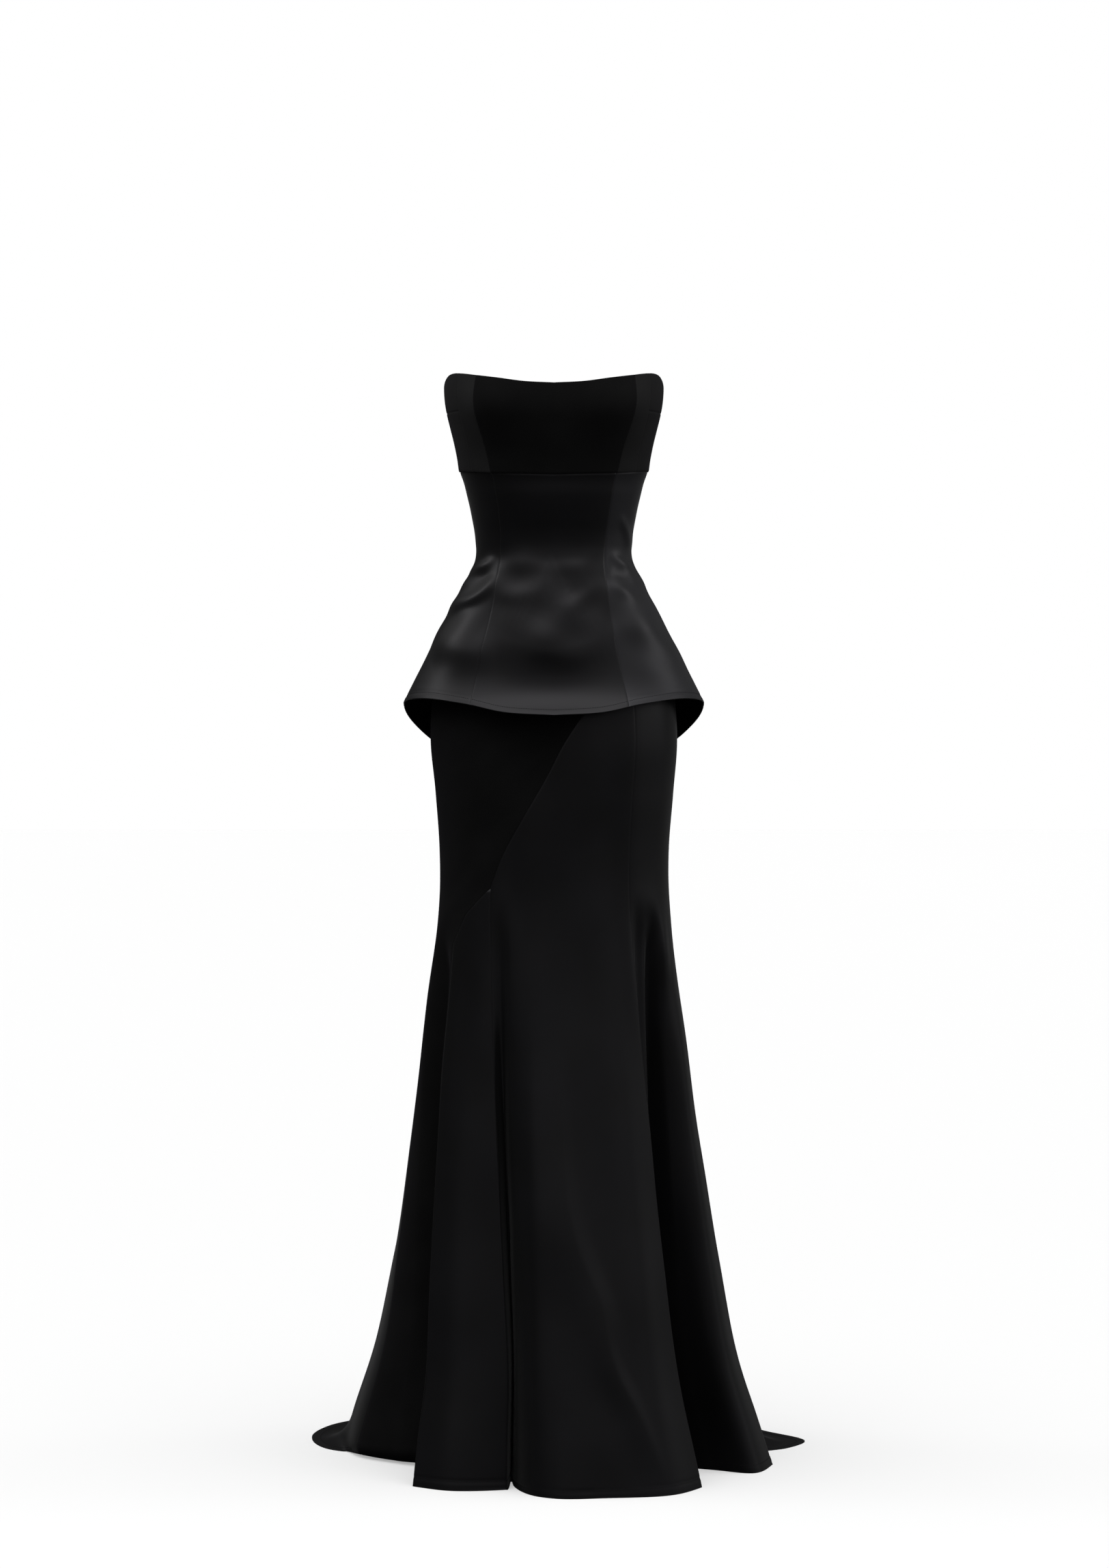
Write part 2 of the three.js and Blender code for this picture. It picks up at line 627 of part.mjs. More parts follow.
// Slider of the concealed zip in the centre-back seam: a flat body with a crown for the pull
function sliderGeometry() {
  const { length, width, thick } = ZIP_SLIDER;
  const { opening, bar, room } = ZIP_CROWN;
  const nose = new THREE.Shape();
  nose.moveTo(-width * 0.32, -length / 2);
  nose.lineTo(width * 0.32, -length / 2);
  nose.lineTo(width / 2, length * 0.2);
  nose.quadraticCurveTo(width / 2, length / 2, 0, length / 2);
  nose.quadraticCurveTo(-width / 2, length / 2, -width / 2, length * 0.2);
  const body = new THREE.ExtrudeGeometry(nose, { depth: thick, bevelEnabled: false, curveSegments: 6 });
  const half = opening / 2;
  const arch = new THREE.Shape();
  arch.moveTo(-half - bar, -bar);
  arch.lineTo(-half, -bar);
  arch.lineTo(-half, room);
  arch.lineTo(half, room);
  arch.lineTo(half, -bar);
  arch.lineTo(half + bar, -bar);
  arch.lineTo(half + bar, room);
  arch.lineTo(half, room + bar);
  arch.lineTo(-half, room + bar);
  arch.lineTo(-half - bar, room);
  const crown = new THREE.ExtrudeGeometry(arch, { depth: ZIP_CROWN.width, bevelEnabled: false });
  crown.translate(0, thick, -ZIP_CROWN.width / 2);
  crown.applyMatrix4(
    new THREE.Matrix4().makeBasis(
      new THREE.Vector3(0, 1, 0),
      new THREE.Vector3(0, 0, 1),
      new THREE.Vector3(1, 0, 0),
    ),
  );
  return joined(body, crown);
}

// Teardrop pull, with a slot that lets the crown through and a bar that turns under it
function pullGeometry() {
  const { reach, width, neck, thick, bar, slot, slotLength } = ZIP_PULL;
  const drop = new THREE.Shape();
  drop.moveTo(-neck / 2, bar / 2);
  drop.lineTo(-neck / 2, -slotLength - bar);
  drop.lineTo(-width / 2, -reach + width / 2);
  drop.absarc(0, -reach + width / 2, width / 2, Math.PI, 2 * Math.PI, false);
  drop.lineTo(neck / 2, -slotLength - bar);
  drop.lineTo(neck / 2, bar / 2);
  const hole = new THREE.Path();
  hole.moveTo(-slot / 2, -bar / 2);
  hole.lineTo(slot / 2, -bar / 2);
  hole.lineTo(slot / 2, -bar / 2 - slotLength);
  hole.lineTo(-slot / 2, -bar / 2 - slotLength);
  drop.holes.push(hole);
  const geometry = new THREE.ExtrudeGeometry(drop, { depth: thick, bevelEnabled: false, curveSegments: 8 });
  geometry.translate(0, 0, -thick / 2);
  return geometry;
}

// Zip: the slider stays at the top of the centre-back seam and the pull hangs from its crown
function zip() {
  const group = new THREE.Group();
  const upright = new THREE.Matrix4().makeBasis(
    new THREE.Vector3(-1, 0, 0),
    new THREE.Vector3(0, 0, 1),
    new THREE.Vector3(0, 1, 0),
  );
  const slider = new THREE.Mesh(sliderGeometry(), new THREE.MeshStandardMaterial(METAL));
  slider.name = "zip_slider";
  const pull = new THREE.Mesh(pullGeometry(), new THREE.MeshStandardMaterial(METAL));
  pull.name = "zip_pull";
  pull.position.z = ZIP_SLIDER.thick + ZIP_CROWN.room / 2;
  group.add(slider, pull);
  const cloth = bustPoint(180, ZIP_SLIDER.z + ZIP_SLIDER.length / 2).y;
  group.applyMatrix4(upright);
  group.position.set(0, cloth + ZIP_SLIDER.clear, ZIP_SLIDER.z);
  return group;
}

const dress = new THREE.Group();
dress.add(bustBand());
dress.add(bodiceAndPeplum());
dress.add(skirt());
dress.add(zip());

export default dress;
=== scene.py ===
import math

import bpy
import numpy as np
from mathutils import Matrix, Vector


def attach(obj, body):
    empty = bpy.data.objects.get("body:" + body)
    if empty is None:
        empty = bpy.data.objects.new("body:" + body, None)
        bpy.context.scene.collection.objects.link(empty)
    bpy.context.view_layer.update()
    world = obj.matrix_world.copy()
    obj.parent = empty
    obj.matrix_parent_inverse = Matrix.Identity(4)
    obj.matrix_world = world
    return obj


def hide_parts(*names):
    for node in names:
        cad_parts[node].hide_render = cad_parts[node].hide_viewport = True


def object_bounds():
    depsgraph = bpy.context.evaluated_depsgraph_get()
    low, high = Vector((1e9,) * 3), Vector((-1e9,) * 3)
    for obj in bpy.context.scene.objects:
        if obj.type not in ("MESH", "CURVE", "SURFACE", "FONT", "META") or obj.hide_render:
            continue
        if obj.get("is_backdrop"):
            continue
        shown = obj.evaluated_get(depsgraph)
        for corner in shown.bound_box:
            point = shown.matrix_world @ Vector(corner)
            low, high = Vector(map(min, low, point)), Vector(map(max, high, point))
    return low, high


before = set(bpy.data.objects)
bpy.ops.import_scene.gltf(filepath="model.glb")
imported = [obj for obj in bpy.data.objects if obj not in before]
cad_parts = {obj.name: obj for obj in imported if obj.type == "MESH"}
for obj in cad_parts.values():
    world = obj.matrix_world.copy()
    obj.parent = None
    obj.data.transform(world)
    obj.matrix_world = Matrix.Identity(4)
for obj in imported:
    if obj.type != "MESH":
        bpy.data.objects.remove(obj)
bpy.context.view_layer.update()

# Studio
# A level camera 5 m in front of the dress and 1.05 m above the floor. Its frame is shifted down
# instead of tilted, so the dress stays upright. Behind it are a white room and a pale floor.
FLOOR = -1.210
PHOTO_HEIGHT = 2296  # in pixels, as are the lens and the two shifts
FILM_HEIGHT = 36
eye = bpy.data.cameras.new("studio camera")
eye.sensor_fit = "VERTICAL"
eye.sensor_height = FILM_HEIGHT
eye.lens = 5555 * FILM_HEIGHT / PHOTO_HEIGHT
eye.shift_x = 1 / PHOTO_HEIGHT
eye.shift_y = -165 / PHOTO_HEIGHT
camera = bpy.data.objects.new("studio_camera", eye)
camera.location = (0, -5, -0.160)
camera.rotation_euler = (math.pi / 2, 0, 0)
bpy.context.scene.collection.objects.link(camera)
bpy.context.scene.camera = camera
bpy.context.scene.view_settings.view_transform = "Standard"


def linear(hex_colour):
    """An sRGB hex colour as linear red, green, blue and alpha."""
    parts = [int(hex_colour[i : i + 2], 16) / 255 for i in (1, 3, 5)]
    return [p / 12.92 if p <= 0.04045 else ((p + 0.055) / 1.055) ** 2.4 for p in parts] + [1]


def add(tree, kind, inputs, **settings):
    """Adds a node. Inputs are numbers, colours or another node's outputs, by socket."""
    made = tree.nodes.new("ShaderNode" + kind)
    for name, value in settings.items():
        setattr(made, name, value)
    for socket, value in inputs.items():
        if isinstance(value, bpy.types.NodeSocket):
            tree.links.new(value, made.inputs[socket])
        else:
            made.inputs[socket].default_value = value
    return made


def new_material(name):
    """An empty material with a Principled shader, ready for its nodes."""
    material = bpy.data.materials.new(name)
    material.use_nodes = True
    tree = material.node_tree
    return material, tree, tree.nodes["Principled BSDF"]


def new_mesh(name, points, faces, places=None):
    """A smooth mesh object. Places are the flat places of its points on the cloth, in metres."""
    mesh = bpy.data.meshes.new(name)
    mesh.from_pydata(points.reshape(-1, 3).tolist(), [], faces)
    mesh.shade_smooth()
    if places is not None:
        layer = mesh.uv_layers.new(name="cloth")
        corner = np.empty(len(mesh.loops), np.int32)
        mesh.loops.foreach_get("vertex_index", corner)
        layer.data.foreach_set("uv", places.reshape(-1, 2)[corner].astype(np.float32).ravel())
    piece = bpy.data.objects.new(name, mesh)
    bpy.context.scene.collection.objects.link(piece)
    return piece


plaster, tree, shader = new_material("matt white painted studio floor")
# Matt paint, all but even, and lit so strongly that it fades into the white room
speck = add(tree, "TexNoise", {"Scale": 3.0, "Detail": 3})
tone = add(tree, "ValToRGB", {"Fac": speck.outputs["Fac"]})
tone.color_ramp.elements[0].color = linear("#8c8c8c")
tone.color_ramp.elements[1].color = linear("#8e8e8e")
tree.links.new(tone.outputs["Color"], shader.inputs["Base Color"])
shader.inputs["Roughness"].default_value = 0.9
shader.inputs["Emission Color"].default_value = (1, 1, 1, 1)
shader.inputs["Emission Strength"].default_value = 0.36
# Light that the floor throws back on the dress is dimmer, as from a floor outside the softboxes
dim = add(tree, "BsdfDiffuse", {"Color": linear("#3c3c3c")})
seen = add(tree, "LightPath", {})
sweep = add(tree, "MixShader", {
    0: seen.outputs["Is Camera Ray"], 1: dim.outputs["BSDF"], 2: shader.outputs["BSDF"],
})
tree.links.new(sweep.outputs["Shader"], tree.nodes["Material Output"].inputs["Surface"])
REACH = 20.0
corners = np.array([[x * REACH, y * REACH, FLOOR] for x, y in [(-1, -1), (1, -1), (1, 1), (-1, 1)]])
floor = new_mesh("studio_floor", corners, [(0, 1, 2, 3)])
floor.data.materials.append(plaster)
floor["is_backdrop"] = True

room = bpy.data.worlds.new("white studio")
bpy.context.scene.world = room
room.use_nodes = True
walls = room.node_tree
seen = add(walls, "LightPath", {})
direction = add(walls, "TexCoord", {})
axes = add(walls, "SeparateXYZ", {"Vector": direction.outputs["Generated"]})
# Brightness by height: dim walls, and silks that begin 30 degrees up and are full from 64
silks = add(walls, "ValToRGB", {"Fac": axes.outputs["Z"]})
silks.color_ramp.elements[0].color = (0.006, 0.006, 0.006, 1)
silks.color_ramp.elements[1].color = (0.95, 0.95, 0.95, 1)
for place, level in [(0.3, 0.008), (0.5, 0.045), (0.66, 0.14), (0.8, 0.5), (0.9, 0.95)]:
    silks.color_ramp.elements.new(place).color = (level, level, level, 1)
# Each part of the room and its fades: along which axis, from where to where, and the light at both
light = 0.0
for part, fades in [
    # The large silks overhead thin out towards the back
    (silks.outputs["Color"], [("Y", -0.05, 0.35, 6.8, 0.8)]),
    # The lit foot of the backdrop behind the dress gives its sides a narrow rim of light
    (1.0, [("Y", 0.88, 0.96, 0.0, 0.25), ("Z", 0.08, 0.0, 0.0, 1.0)]),
    # A wide white curtain behind the camera fills the front, and its left end hangs in the shade
    (1.0, [("Y", -0.12, -0.6, 0.0, 1.0), ("X", -0.9, -0.55, 0.15, 1.05)]),
    # The right wall is dim
    (1.0, [("X", 0.3, 0.65, 0.0, 0.2)]),
    # The left wall is dark up to a raised silk
    (1.0, [("X", -0.4, -0.7, 0.0, 1.2), ("Z", 0.3, 0.55, 0.04, 1.0)]),
    # A tall reflector to the right draws a line of light down the turned edges
    (1.0, [("X", 0.9, 0.98, 0.0, 1.1)]),
]:
    for axis, start, end, low, high in fades:
        fade = add(walls, "MapRange", {
            "Value": axes.outputs[axis],
            "From Min": start, "From Max": end, "To Min": low, "To Max": high,
        })
        faded = add(walls, "Math", {0: part, 1: fade.outputs["Result"]}, operation="MULTIPLY")
        part = faded.outputs["Value"]
    light = add(walls, "Math", {0: light, 1: part}, operation="ADD").outputs["Value"]
strength = add(walls, "Mix", {0: seen.outputs["Is Camera Ray"], 2: light, 3: 1.0})
walls.links.new(strength.outputs["Result"], walls.nodes["Background"].inputs["Strength"])
walls.nodes["Background"].inputs["Color"].default_value = (1, 1, 1, 1)

# Softboxes: name, place, the point they face, width, height and power
for name, place, target, width, height, power in [
    ("softbox_right", (2.3, 0.1, 0.9), (0, 0, 0), 0.7, 1.4, 2.4),
    ("softbox_left", (-2.2, 0.2, 1.3), (0, 0, 0.1), 0.6, 1.0, 2.2),
]:
    lamp = bpy.data.lights.new(name, "AREA")
    lamp.shape = "RECTANGLE"
    lamp.size = width
    lamp.size_y = height
    lamp.energy = power
    lamp.spread = math.radians(70)
    softbox = bpy.data.objects.new(name, lamp)
    softbox.location = place
    aim = np.array(target, float) - np.array(place, float)
    softbox.rotation_euler = (
        math.atan2(math.hypot(aim[0], aim[1]), -aim[2]),
        0,
        math.atan2(aim[1], aim[0]) - math.pi / 2,
    )
    bpy.context.scene.collection.objects.link(softbox)

# Bust band
# Satin-back crepe with its matt side out, over interlined cups that hold themselves up. The front is
# cut in three between princess seams, and a short cross seam splits each side piece.
BAND_WALL = 0.0015
BUST_SECTIONS = np.array([  # height, half width, depth to the front and to the back, in mm
    [236, 143.2, 104.6, 98.5],
    [216, 144.8, 109, 98.8],
    [195, 143.8, 112, 98.6],
    [178, 141.0, 112.2, 98.2],
    [160, 136.6, 109.8, 96.8],
    [141, 131.8, 107.2, 94.8],
    [120, 127.2, 103.6, 92.2],
    [103, 123.8, 101, 90.2],
    [88, 118.8, 98.4, 88.2],
])
NECKLINE = [
    (0, 212.5), (15, 214.6), (30, 220.2), (45, 225), (56, 228), (65, 229), (73, 227), (80, 221.6),
    (88, 213.5), (102, 207), (122, 196), (150, 187.5), (180, 186),
]
UNDERBUST = [(0, 95), (43, 98), (75, 102), (100, 103), (180, 101)]
BUST_PRINCESS_LEFT = [(228, -43.3), (180, -43.6), (140, -43.4), (98, -41.8)]
BUST_PRINCESS_RIGHT = [(228, 45.8), (180, 45.2), (140, 44.2), (98, 42.2)]
SIDE_FRONT_SEAM = 60
SIDE_SEAM = 98
BACK_SEAM = 140
SIDE_SPLIT = 179
# The cups: angle and height of their fullest place, their reach from it, and how far they stand out
CUP_ANGLE, CUP_HEIGHT = 33, 182
CUP_HALF_ANGLE, CUP_HALF_HEIGHT = 21, 40
CUP_RISE = 11


def through(table, at):
    """The smooth curve through pairs of a place and a value."""
    keys, values = np.array(sorted(map(tuple, table)), float).T
    at = np.clip(at, keys[0], keys[-1])
    i = np.clip(np.searchsorted(keys, at, side="right") - 1, 0, len(keys) - 2)
    width = np.diff(keys)
    slope = np.diff(values) / width
    tangent = np.concatenate([slope[:1], np.zeros(len(keys) - 2), slope[-1:]])
    before, after = width[:-1], width[1:]
    tangent[1:-1] = (slope[:-1] * after + slope[1:] * before) / (before + after)
    t = (at - keys[i]) / width[i]
    rise = t * t * (3 - 2 * t)
    ease = tangent[i] * t * (1 - t) ** 2 + tangent[i + 1] * t * t * (t - 1)
    return values[i] * (1 - rise) + values[i + 1] * rise + ease * width[i]


def from_front(a):
    """Angle from 0 at the front to 180 at the back, the same on both sides."""
    turned = np.mod(a, 360)
    return np.where(turned > 180, 360 - turned, turned)


def ring(sections, a, z):
    """Points of the body's egg-shaped rings, in mm."""
    angle = np.radians(a)
    half, front, back = (through(sections[:, [0, k]], z) for k in (1, 2, 3))
    deep = np.where(np.cos(angle) > 0, front, back)
    return np.stack([half * np.sin(angle), -deep * np.cos(angle), z + 0 * angle], axis=-1)


def cups(a, z):
    """The bust band's outer face: the rings with two soft cups."""
    points = ring(BUST_SECTIONS, a, z)
    aside, above = (from_front(a) - CUP_ANGLE) / CUP_HALF_ANGLE, (z - CUP_HEIGHT) / CUP_HALF_HEIGHT
    bulge = np.exp(-(aside**2) - above**2)
    points[..., :2] *= (1 + CUP_RISE * bulge / np.hypot(points[..., 0], points[..., 1]))[..., None]
    return points


def neckline(a):
    """Height of the top edge in mm at an angle."""
    return through(NECKLINE, from_front(a))


def underbust(a):
    """Height of the seam under the bust band."""
    return through(UNDERBUST, from_front(a))


def between(face, upper, lower):
    """A fitted surface between two edges: u is the angle and v runs from 0 to 1 downwards."""
    def surface(u, v):
        top, bottom = upper(u), lower(u)
        return face(u, top + (bottom - top) * v[:, None])
    return surface


def strips(length, pitch):
    """Shares from 0 to 1 along a length in mm: evenly spaced, and close together at both ends."""
    ends = np.array([0, 0.5, 1.2, 2.2, 3.4])
    middle = np.linspace(5, length - 5, max(3, int(length / pitch)))
    return np.concatenate([ends, middle, length - ends[::-1]]) / length


def soft_folds(points, folds):
    """Height of soft folds in mm. A fold is the side it is seen from, points in mm that its line runs
    smoothly through as seen from the front or back (x, z) or from the side (y, z), its height, where
    a trough is less than 0, and its width, or its two widths, left and right of its line."""
    height = np.zeros(points.shape[:-1])
    for side, line, rise, spread in folds:
        spreads = spread if isinstance(spread, tuple) else (spread, spread)
        flat = points[..., [1, 2]] if side in ("left", "right") else points[..., [0, 2]]
        facing = {
            "front": points[..., 1] < 0,
            "back": points[..., 1] > 0,
            "left": points[..., 0] < 0,
            "right": points[..., 0] > 0,
        }[side]
        given = np.array(line, float)
        gone = np.concatenate([[0], np.cumsum(np.linalg.norm(np.diff(given, axis=0), axis=1))])
        fine = np.linspace(0, gone[-1], 21)
        line = np.stack([through(list(zip(gone, given[:, k])), fine) for k in (0, 1)], axis=-1)
        runs = np.linalg.norm(np.diff(line, axis=0), axis=1)
        gone = np.concatenate([[0], np.cumsum(runs)])
        # The nearest place on the line: how far away, how far along and on which side of it
        nearest = np.full(flat.shape[:-1], 1e9)
        share = np.zeros(flat.shape[:-1])
        wide = np.zeros(flat.shape[:-1])
        for start, end, run, before in zip(line, line[1:], runs, gone):
            way, off = end - start, flat - start
            along = np.clip((off @ way) / run**2, 0, 1)
            away = np.linalg.norm(off - along[..., None] * way, axis=-1)
            closer = away < nearest
            nearest = np.where(closer, away, nearest)
            share = np.where(closer, (before + along * run) / gone[-1], share)
            beside = way[0] * off[..., 1] - way[1] * off[..., 0] > 0
            wide = np.where(closer, np.where(beside, spreads[0], spreads[1]), wide)
        taper = np.sin(np.pi * np.clip(share, 0, 1)) ** 1.4
        height += np.where(facing, rise * taper * np.exp(-((nearest / wide) ** 2)), 0)
    return height


def ripples(points, waves):
    """Height of the cloth's shallow ripples in mm. A wave is its count round the body, its length
    down the body in mm, its start in degrees and its height."""
    around = np.arctan2(points[..., 0], -points[..., 1])
    return sum(
        height * np.sin(count * around + 2 * np.pi * points[..., 2] / long + np.radians(start))
        for count, long, start, height in waves
    )


def unit(vectors):
    """The same directions, each of length 1."""
    return vectors / np.maximum(np.linalg.norm(vectors, axis=-1, keepdims=True), 1e-9)


# All in mm: the distance between the points of the cloth, how deep and wide it rolls in at a seam,
# and the width under which a piece that runs out to a point sinks under its neighbours, and how far
PITCH = 3.2
SEAM_DIP, SEAM_HALF = 0.5, 1.3
POINTED, POINT_DIP = 12, 0.6


def cloth(name, surface, left, right, downs, wall, seams, folds=(), relief=None):
    """A cut piece between its left and right seams, as a thin shell with its edges rolled in. The
    seams say how deeply its left, right, upper and lower edges roll in, where 0 is a free edge."""
    begin, end = (np.broadcast_to(edge, len(downs))[:, None] for edge in (left, right))
    rough = begin + (end - begin) * np.linspace(0, 1, 241)
    steps = np.linalg.norm(np.diff(surface(rough, downs), axis=1), axis=2)
    run = np.concatenate([np.zeros((len(downs), 1)), np.cumsum(steps, axis=1)], axis=1)
    width = run[:, -1]
    shares = strips(width.max(), PITCH)
    # Rows narrower than 30 mm have their points evenly spaced
    pinch = np.minimum(1, width / 30)[:, None]
    even = np.linspace(0, 1, len(shares))
    target = (shares * pinch + even * (1 - pinch)) * width[:, None]
    places = np.array([np.interp(t, r, u) for t, r, u in zip(target, run, rough)])
    points = surface(places, downs)
    fall = np.linalg.norm(np.diff(points, axis=0), axis=2)
    fall = np.concatenate([np.zeros((1, len(shares))), np.cumsum(fall, axis=0)], axis=0)
    inset = [target, width[:, None] - target, fall, fall[-1] - fall]

    def facing(grid):
        return unit(np.cross(np.gradient(grid, axis=0), np.gradient(grid, axis=1)))

    normals = facing(points)
    lift = soft_folds(points, folds)
    for distance, depth in zip(inset, seams):
        roll = np.exp(-((distance / SEAM_HALF) ** 2)) * np.clip(width[:, None] / POINTED, 0, 1)
        lift -= depth * SEAM_DIP * roll
    lift -= POINT_DIP * np.clip(1 - width[:, None] / POINTED, 0, 1)
    if relief is not None:
        lift += relief(points, inset)
    points = points + normals * lift[..., None]
    points[..., 2] = np.maximum(points[..., 2], FLOOR * 1000 + 0.2)
    normals = facing(points)
    back = points - normals * wall * 1000
    back[..., 2] = np.maximum(back[..., 2], FLOOR * 1000 + 0.05)
    rows, across = points.shape[:2]
    count = rows * across
    grid = np.arange(count).reshape(rows, across)
    a, b, c, d = grid[:-1, :-1], grid[1:, :-1], grid[1:, 1:], grid[:-1, 1:]
    outer = np.stack([a, b, c, d], axis=-1).reshape(-1, 4)
    inner = outer[:, ::-1] + count
    rim = [
        [up + 0, up + count, low + count, low + 0] for up, low in zip(grid[:-1, 0], grid[1:, 0])
    ] + [
        [up, low, low + count, up + count] for up, low in zip(grid[:-1, -1], grid[1:, -1])
    ] + [
        [near, far, far + count, near + count] for near, far in zip(grid[0, :-1], grid[0, 1:])
    ] + [
        [near, near + count, far + count, far] for near, far in zip(grid[-1, :-1], grid[-1, 1:])
    ]
    flat = np.stack([target - width[:, None] / 2, -fall], axis=-1) / 1000
    piece = new_mesh(
        name,
        np.concatenate([points, back]) / 1000,
        outer.tolist() + rim + inner.tolist(),
        np.concatenate([flat, flat]),
    )
    sides = np.zeros(len(outer) + len(rim) + len(inner), np.int32)
    sides[len(outer) + len(rim) :] = 1
    piece.data.polygons.foreach_set("material_index", sides)
    one, two = points[1:, :-1] - points[:-1, :-1], points[:-1, 1:] - points[:-1, :-1]
    area = np.linalg.norm(np.cross(one, two), axis=-1).sum() / 1e6
    size = (width.max() / 1000, fall[-1].max() / 1000)
    return piece, {"points": points, "normals": normals, "inset": inset, "area": area, "size": size}


def sew_on(piece, outside, inside):
    """Gives a cut piece its two sides of the cloth and puts it in the place of its solid."""
    piece.data.materials.append(outside)
    piece.data.materials.append(inside)
    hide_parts(piece.name.removesuffix("_cloth"))
    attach(piece, "dress")


def matt_crepe(name, dark, light, level):
    """The matt side between two shades, with its level of gloss."""
    made, tree, shader = new_material(name)
    spot = add(tree, "UVMap", {}, uv_map="cloth")
    # Crepe pebbles are about 0.4 mm, drawn at 1.1 mm so that they show
    pebble = add(tree, "TexNoise", {
        "Vector": spot.outputs["UV"], "Scale": 900, "Detail": 2, "Roughness": 0.6,
    })
    cloud = add(tree, "TexNoise", {"Vector": spot.outputs["UV"], "Scale": 14, "Detail": 2})
    tone = add(tree, "ValToRGB", {"Fac": cloud.outputs["Fac"]})
    tone.color_ramp.elements[0].position = 0.3
    tone.color_ramp.elements[0].color = linear(dark)
    tone.color_ramp.elements[1].position = 0.7
    tone.color_ramp.elements[1].color = linear(light)
    bump = add(tree, "Bump", {"Height": pebble.outputs["Fac"], "Strength": 0.35, "Distance": 0.0003})
    tree.links.new(tone.outputs["Color"], shader.inputs["Base Color"])
    tree.links.new(bump.outputs["Normal"], shader.inputs["Normal"])
    shader.inputs["Roughness"].default_value = 0.85
    shader.inputs["Specular IOR Level"].default_value = level
    shader.inputs["Sheen Weight"].default_value = 0.03
    shader.inputs["Sheen Roughness"].default_value = 0.5
    shader.inputs["Sheen Tint"].default_value = linear("#8e8a94")
    return made


# The matt side of the crepe: hard-twisted yarns that break up the light, so it stays near black
matt = matt_crepe("satin-back crepe, matt side", "#090909", "#0c0c0c", 0.004)
# The same matt side on the bust band's side pieces, its colour painted lighter: painted light for the
# brighter sides
matt_painted_lighter = matt_crepe("satin-back crepe, matt side, painted lighter", "#121212", "#161616", 0.02)


def satin_crepe(name, dark, light, level):
    """The satin side between two shades, with its level of gloss."""
    made, tree, shader = new_material(name)
    spot = add(tree, "UVMap", {}, uv_map="cloth")
    # Floats are about 0.15 mm wide and 1.5 mm long, drawn at 0.7 mm by 8 mm
    stretch = add(tree, "Mapping", {"Vector": spot.outputs["UV"], "Scale": (1400, 120, 1)})
    floats = add(tree, "TexNoise", {"Vector": stretch.outputs["Vector"], "Scale": 1, "Detail": 2})
    cloud = add(tree, "TexNoise", {"Vector": spot.outputs["UV"], "Scale": 11, "Detail": 2})
    tone = add(tree, "ValToRGB", {"Fac": cloud.outputs["Fac"]})
    tone.color_ramp.elements[0].position = 0.3
    tone.color_ramp.elements[0].color = linear(dark)
    tone.color_ramp.elements[1].position = 0.7
    tone.color_ramp.elements[1].color = linear(light)
    bump = add(tree, "Bump", {"Height": floats.outputs["Fac"], "Strength": 0.2, "Distance": 0.0002})
    tree.links.new(tone.outputs["Color"], shader.inputs["Base Color"])
    tree.links.new(bump.outputs["Normal"], shader.inputs["Normal"])
    shader.inputs["Roughness"].default_value = 0.38
    shader.inputs["Specular IOR Level"].default_value = level
    shader.inputs["Specular Tint"].default_value = linear("#f3f0f6")
    shader.inputs["Sheen Weight"].default_value = 0.02
    shader.inputs["Sheen Roughness"].default_value = 0.4
    return made


# The satin side: long floats of the warp that lie side by side and give a soft, slightly violet gloss
satin = satin_crepe("satin-back crepe, satin side", "#050505", "#070708", 0.09)
# The same satin side with its colour painted lighter: painted light on the bodice's right front side
# piece
satin_painted_lighter = satin_crepe("satin-back crepe, satin side, painted lighter", "#111112", "#151517", 0.09)


def band_relief(points, inset):
    """The seam allowances inside push the band's lower edge out a little."""
    return 1.4 * np.exp(-inset[3] / 13)


band_rows = strips(120, PITCH)


def bust_princess(table):
    """Angle of a princess seam at each row of the bust band."""
    heights = neckline(43) + (underbust(43) - neckline(43)) * band_rows
    return through(table, heights)


for name, left, right, upper, lower in [
    (
        "bust_front_centre",
        bust_princess(BUST_PRINCESS_LEFT),
        bust_princess(BUST_PRINCESS_RIGHT),
        None,
        None,
    ),
    ("bust_front_side_left", -SIDE_FRONT_SEAM, bust_princess(BUST_PRINCESS_LEFT), None, None),
    ("bust_front_side_right", bust_princess(BUST_PRINCESS_RIGHT), SIDE_FRONT_SEAM, None, None),
    ("bust_side_upper_left", -SIDE_SEAM, -SIDE_FRONT_SEAM, None, SIDE_SPLIT),
    ("bust_side_upper_right", SIDE_FRONT_SEAM, SIDE_SEAM, None, SIDE_SPLIT),
    ("bust_side_lower_left", -SIDE_SEAM, -SIDE_FRONT_SEAM, SIDE_SPLIT, None),
    ("bust_side_lower_right", SIDE_FRONT_SEAM, SIDE_SEAM, SIDE_SPLIT, None),
    ("bust_back_side_left", -BACK_SEAM, -SIDE_SEAM, None, None),
    ("bust_back_side_right", SIDE_SEAM, BACK_SEAM, None, None),
    ("bust_back_centre_left", -180, -BACK_SEAM, None, None),
    ("bust_back_centre_right", BACK_SEAM, 180, None, None),
]:
    top = neckline if upper is None else lambda a: SIDE_SPLIT + 0 * a
    bottom = underbust if lower is None else lambda a: SIDE_SPLIT + 0 * a
    piece, made = cloth(
        name + "_cloth", between(cups, top, bottom), left, right, band_rows, BAND_WALL,
        seams=(0.7, 0.7, upper is not None, 1), relief=band_relief if lower is None else None,
    )
    # All but the centre pieces wear the matt side with painted light, its colour lighter
    outside = matt if "centre" in name else matt_painted_lighter
    sew_on(piece, outside, satin)

